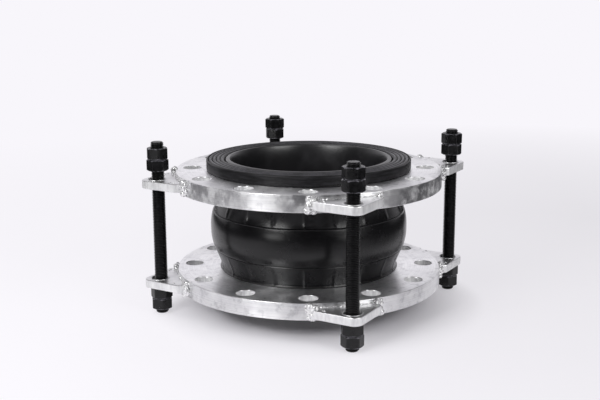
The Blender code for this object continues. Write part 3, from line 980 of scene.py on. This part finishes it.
def cover_pocket():
    """The inside of the upper lip: the seam, the bead's pocket and the fabric's foot."""
    pocket_inside = BEAD_CIRCLE_RADIUS - BEAD_POCKET_HALF
    pocket_outside = BEAD_CIRCLE_RADIUS + BEAD_POCKET_HALF
    foot_end = FABRIC_FOOT_RADIUS + LAYER_GAP
    pocket = [
        (COVER_SEAM_RADIUS, POCKET_LOW),
        (pocket_inside, POCKET_LOW),
        (pocket_inside, POCKET_HIGH),
        (pocket_outside, POCKET_HIGH),
        (pocket_outside, POCKET_LOW),
        (foot_end, POCKET_LOW),
        (foot_end, FLOOR_TOP),
        (COVER_INSIDE, FLOOR_TOP),
    ]
    return [(radius, height, 0.0, 0) for radius, height in pocket]


def below(points):
    """The same points under the middle."""
    return [(radius, -height, weight, finish) for radius, height, weight, finish in points]


def ring_columns():
    """Angles round the bellows with the thin ribs that the mould left picked out."""
    pitch = 2.0 * math.pi / MOULD_LINES
    columns = []
    for k in range(MOULD_LINES):
        start = MOULD_LINE_START + k * pitch
        for offset, line in ((-1.0, 0.0), (-0.4, 1.0), (0.4, 1.0), (1.0, 0.0)):
            columns.append((start + offset * MOULD_LINE_HALF, line))
        for j in range(1, SECTOR_STEPS):
            angle = start + MOULD_LINE_HALF + (pitch - 2.0 * MOULD_LINE_HALF) * j / SECTOR_STEPS
            columns.append((angle, 0.0))
    return columns


def plain_columns(count):
    """Even angles round the axis, with no ribs."""
    return [(2.0 * math.pi * k / count, 0.0) for k in range(count)]


def cover_profiles():
    """The two closed profiles of the outer cover, above and below the split."""
    lip = lip_outside()
    pocket = cover_pocket()
    upper = lip[::-1] + outside_points(FLARE_END, SPLIT_HEIGHT)
    upper += layer_points(COVER_INSIDE, SPLIT_HEIGHT, ARCH_HALF) + pocket[::-1]
    lower = outside_points(SPLIT_HEIGHT, -FLARE_END) + below(lip) + below(pocket)
    lower += layer_points(COVER_INSIDE, -ARCH_HALF, SPLIT_HEIGHT)
    return upper, lower


def layer_profiles(outer, inner, end):
    """The two closed profiles of a hidden layer between two neck radii; end goes round in the lip."""
    end = [(radius, height, 0.0, 0) for radius, height in end]
    upper = end[::-1] + layer_points(outer, ARCH_HALF, SPLIT_HEIGHT)
    upper += layer_points(inner, SPLIT_HEIGHT, ARCH_HALF)
    lower = layer_points(outer, SPLIT_HEIGHT, -ARCH_HALF) + below(end)
    lower += layer_points(inner, -ARCH_HALF, SPLIT_HEIGHT)
    return upper, lower


def fabric_profiles():
    """The cord plies, turned out flat under the bead ring."""
    foot = [
        (FABRIC_OUTSIDE, FOOT_LOW),
        (FABRIC_FOOT_RADIUS, FOOT_LOW),
        (FABRIC_FOOT_RADIUS, FOOT_HIGH),
        (FABRIC_INSIDE, FOOT_HIGH),
    ]
    return layer_profiles(FABRIC_OUTSIDE, FABRIC_INSIDE, foot)


def liner_profiles():
    """The inner tube, with the inner part of the lip and the flared mouth of the bore."""
    lip = [(LINER_OUTSIDE, POCKET_LOW), (LINER_LIP_RADIUS, POCKET_LOW), (LINER_LIP_RADIUS, GROOVE_FLOOR)]
    lip += [(radius, LIP_TOP - fall) for radius, fall in LINER_SHOULDER]
    lip.append((LINER_CROWN_RADIUS, LIP_TOP))
    lip += rounded(PIPE_RADIUS, LIP_TOP, -MOUTH_WIDENING, MOUTH_DEPTH, MOUTH_STEPS)[::-1]
    return layer_profiles(LINER_OUTSIDE, PIPE_RADIUS, lip)


def mark_painted_crests(mesh):
    """Marks the crests of the sealing beads, where the lip's highlight is painted in pale lines."""
    crest = mesh.attributes.new(PAINTED_CREST_HIGHLIGHT, "FLOAT", "POINT")
    for vertex, mark in zip(mesh.vertices, crest.data):
        on_top = abs(vertex.co.z) > LIP_TOP - CREST_HIGHLIGHT_REACH
        nearest = min(abs(vertex.co.xy.length - bead) for bead in LIP_BEADS)
        mark.value = 1.0 if on_top and nearest < CREST_HIGHLIGHT_REACH else 0.0


def rubber_pieces():
    """The three rubber layers, each split in two at the upper parting groove."""
    spot = Matrix.Translation((0.0, 0.0, MIDDLE))
    layers = (
        ("outer_cover", cover_profiles(), ring_columns(), ["cover_rubber", "lip_rubber"]),
        ("cord_fabric", fabric_profiles(), plain_columns(FABRIC_COLUMNS), ["cord_fabric"]),
        ("inner_liner", liner_profiles(), plain_columns(LINER_COLUMNS), ["liner_rubber"]),
    )
    for node, (upper, lower), columns, finishes in layers:
        top = place_piece(node + "_top", lathe(node + "_top", upper, columns), finishes, spot)
        arch = place_piece(node + "_arch", lathe(node + "_arch", lower, columns), finishes, spot)
        mark_painted_crests(top.data)
        mark_painted_crests(arch.data)
        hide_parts(node)
        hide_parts(node)
        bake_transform(arch)
        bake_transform(top)


# Studio


def place_camera():
    """The camera that was fitted to the photo."""
    forward = Vector((
        math.sin(CAMERA_YAW) * math.cos(CAMERA_PITCH),
        math.cos(CAMERA_YAW) * math.cos(CAMERA_PITCH),
        -math.sin(CAMERA_PITCH),
    ))
    right = forward.cross(Vector((0.0, 0.0, 1.0))).normalized()
    above = right.cross(forward)
    tilted_right = right * math.cos(CAMERA_ROLL) + above * math.sin(CAMERA_ROLL)
    tilted_above = above * math.cos(CAMERA_ROLL) - right * math.sin(CAMERA_ROLL)
    axes = Matrix((tilted_right, tilted_above, -forward)).transposed().to_4x4()
    stand = Matrix.Translation((0.0, -CAMERA_DISTANCE, CAMERA_HEIGHT))
    data = bpy.data.cameras.new("camera")
    data.sensor_width = SENSOR_WIDTH
    data.lens = CAMERA_LENS
    data.clip_start = 0.01
    camera = bpy.data.objects.new("camera", data)
    bpy.context.scene.collection.objects.link(camera)
    camera.matrix_world = Matrix.Rotation(CAMERA_AZIMUTH, 4, "Z") @ stand @ axes
    bpy.context.scene.camera = camera


def studio_spot(degrees_left, distance, height):
    """A spot round the object, measured to the left of the line from it to the camera."""
    angle = CAMERA_AZIMUTH - math.pi / 2 - math.radians(degrees_left)
    return Vector((distance * math.cos(angle), distance * math.sin(angle), height))


def softbox(name, spot, width, height, level):
    """A rectangular lamp whose face glows at the given level, where 1 is white."""
    data = bpy.data.lights.new(name, "AREA")
    data.shape = "RECTANGLE"
    data.size = width
    data.size_y = height
    data.energy = level * math.pi * width * height
    lamp = bpy.data.objects.new(name, data)
    bpy.context.scene.collection.objects.link(lamp)
    lamp.visible_camera = False
    lamp.location = spot
    lamp.rotation_euler = (Vector(LAMP_AIM) - spot).to_track_quat("-Z", "Y").to_euler()


def along(tree, place, way):
    """How far a place lies along a direction."""
    inputs = {0: place, 1: way}
    return add(tree, "ShaderNodeVectorMath", inputs, operation="DOT_PRODUCT").outputs["Value"]


def light_paths(tree):
    """The rays that come from the camera, and those that a mirror or glass sends on."""
    paths = add(tree, "ShaderNodeLightPath").outputs
    return paths["Is Camera Ray"], calc(tree, "MAXIMUM", paths["Is Glossy Ray"], paths["Is Transmission Ray"])


def make_world():
    """A white backdrop behind, a dim room in front with a dull ceiling, and white for the camera."""
    world = bpy.data.worlds.new("studio")
    bpy.context.scene.world = world
    world.use_nodes = True
    tree = world.node_tree
    glow = tree.nodes["Background"]
    direction = add(tree, "ShaderNodeTexCoord").outputs["Generated"]
    facing = along(tree, direction, -studio_spot(-10.0, 1.0, 0.0))
    height = add(tree, "ShaderNodeSeparateXYZ", {0: direction}).outputs[2]
    backdrop = spread(tree, facing, 0.05, 0.70, ROOM_LEVEL, BACKDROP_LEVEL)
    ceiling = spread(tree, height, 0.35, 0.80, 0.0, 1.0)
    room = add(tree, "ShaderNodeMix", {0: ceiling, 2: backdrop, 3: CEILING_LEVEL}).outputs[0]
    camera_ray, mirrored = light_paths(tree)
    seen = calc(tree, "MAXIMUM", camera_ray, mirrored)
    level = add(tree, "ShaderNodeMix", {0: camera_ray, 2: room, 3: 1.0}).outputs[0]
    tint = blend_colours(tree, seen, (1.0, 1.0, 1.0, 1.0), BACKDROP_COLOUR)
    tree.links.new(level, glow.inputs["Strength"])
    tree.links.new(tint, glow.inputs["Color"])


def distance_from(tree, place, spot):
    """How far a place lies from a fixed spot."""
    offset = add(tree, "ShaderNodeVectorMath", {0: place, 1: spot}, operation="SUBTRACT").outputs[0]
    return add(tree, "ShaderNodeVectorMath", {0: offset}, operation="LENGTH").outputs["Value"]


def make_floor():
    """White paper that fades into the backdrop far off, with painted light: its glow is nil close to the
    object, lifts the shadow further out and is brighter on the left than on the right. Past its edges,
    mirrors see a painted dark reflection of the dim room instead.
    """
    shape = bmesh.new()
    bmesh.ops.create_grid(shape, x_segments=1, y_segments=1, size=FLOOR_HALF)
    mesh = bpy.data.meshes.new("floor")
    shape.to_mesh(mesh)
    shape.free()
    floor = bpy.data.objects.new("floor", mesh)
    bpy.context.scene.collection.objects.link(floor)
    material, tree, shader, place = new_material("studio_floor")
    mesh.materials.append(material)
    across = along(tree, place, studio_spot(-90.0, 1.0, 0.0))
    ahead = along(tree, place, studio_spot(0.0, 1.0, 0.0))
    past_right = spread(tree, across, 0.30, 0.48, 0.0, 1.0)
    past_left = spread(tree, across, -0.65, -0.42, 1.0, 0.0)
    past_front = spread(tree, ahead, 0.30, 0.52, 0.0, 1.0)
    beyond = calc(tree, "MAXIMUM", calc(tree, "MAXIMUM", past_right, past_left), past_front)
    camera_ray, mirrored = light_paths(tree)
    seen = calc(tree, "MAXIMUM", camera_ray, mirrored)
    # Painted reflection: past these bounds, mirrors see the floor dark
    painted_dark_reflection = calc(tree, "MULTIPLY", beyond, mirrored)
    paper = spread(tree, noise(tree, place, 3.0, 2.0), 0.3, 0.7, 0.0, 1.0)
    pale = blend_colours(tree, paper, (0.90, 0.885, 0.925, 1.0), (0.93, 0.915, 0.95, 1.0))
    colour = blend_colours(tree, painted_dark_reflection, pale, (0.08, 0.08, 0.085, 1.0))
    # Painted light: the glow is nil close to the object and lifts the shadow further out
    from_object = distance_from(tree, place, studio_spot(-90.0, 0.012, 0.0))
    near_glow = spread(tree, from_object, 0.13, 0.215, 0.0, NEAR_GLOW)
    far = spread(tree, distance_from(tree, place, studio_spot(-90.0, 0.3, 0.0)), 0.5, 1.6, 0.0, 1.0)
    glow = calc(tree, "MULTIPLY_ADD", far, 1.0 - NEAR_GLOW, near_glow)
    veil = calc(tree, "MULTIPLY", glow, calc(tree, "SUBTRACT", seen, painted_dark_reflection))
    connect(tree, shader, Base_Color=blend_colours(tree, veil, colour, (0.0, 0.0, 0.0, 1.0)))
    # Painted light: the glow is brighter on the left than on the right
    near_level = spread(tree, across, -0.3, 0.5, VEIL_LEFT, VEIL_RIGHT)
    level = add(tree, "ShaderNodeMix", {0: far, 2: near_level, 3: 1.0}).outputs[0]
    connect(tree, shader, Emission_Strength=calc(tree, "MULTIPLY", veil, level))
    shader.inputs["Emission Color"].default_value = BACKDROP_COLOUR
    shader.inputs["Roughness"].default_value = 0.9
    shader.inputs["Specular IOR Level"].default_value = 0.0


def make_studio():
    """Camera, backdrop, floor and lamps."""
    place_camera()
    make_world()
    make_floor()
    softbox("key", studio_spot(KEY_DEGREES, LAMP_DISTANCE, LAMP_HEIGHT), 0.52, 0.60, 8.6)
    softbox("key_foot", studio_spot(KEY_DEGREES, LAMP_DISTANCE, FOOT_LAMP_HEIGHT), 0.44, 0.26, 3.0)
    softbox("fill", studio_spot(FILL_DEGREES, LAMP_DISTANCE, LAMP_HEIGHT), 0.80, 0.60, 4.6)
    softbox("fill_foot", studio_spot(FILL_DEGREES, LAMP_DISTANCE, FOOT_LAMP_HEIGHT), 0.44, 0.26, 2.4)
    softbox("top", studio_spot(TOP_DEGREES, 1.00, 1.55), 1.1, 1.1, 1.6)
    bpy.context.scene.view_settings.view_transform = "Standard"


for flange_end in ENDS:
    flange_piece(flange_end)
    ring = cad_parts[flange_end + "_bead_ring"]
    ring.data.materials.clear()
    ring.data.materials.append(FINISH["bead_wire"])
lug_pieces()
rod_pieces()
rubber_pieces()
make_studio()
bpy.context.view_layer.update()
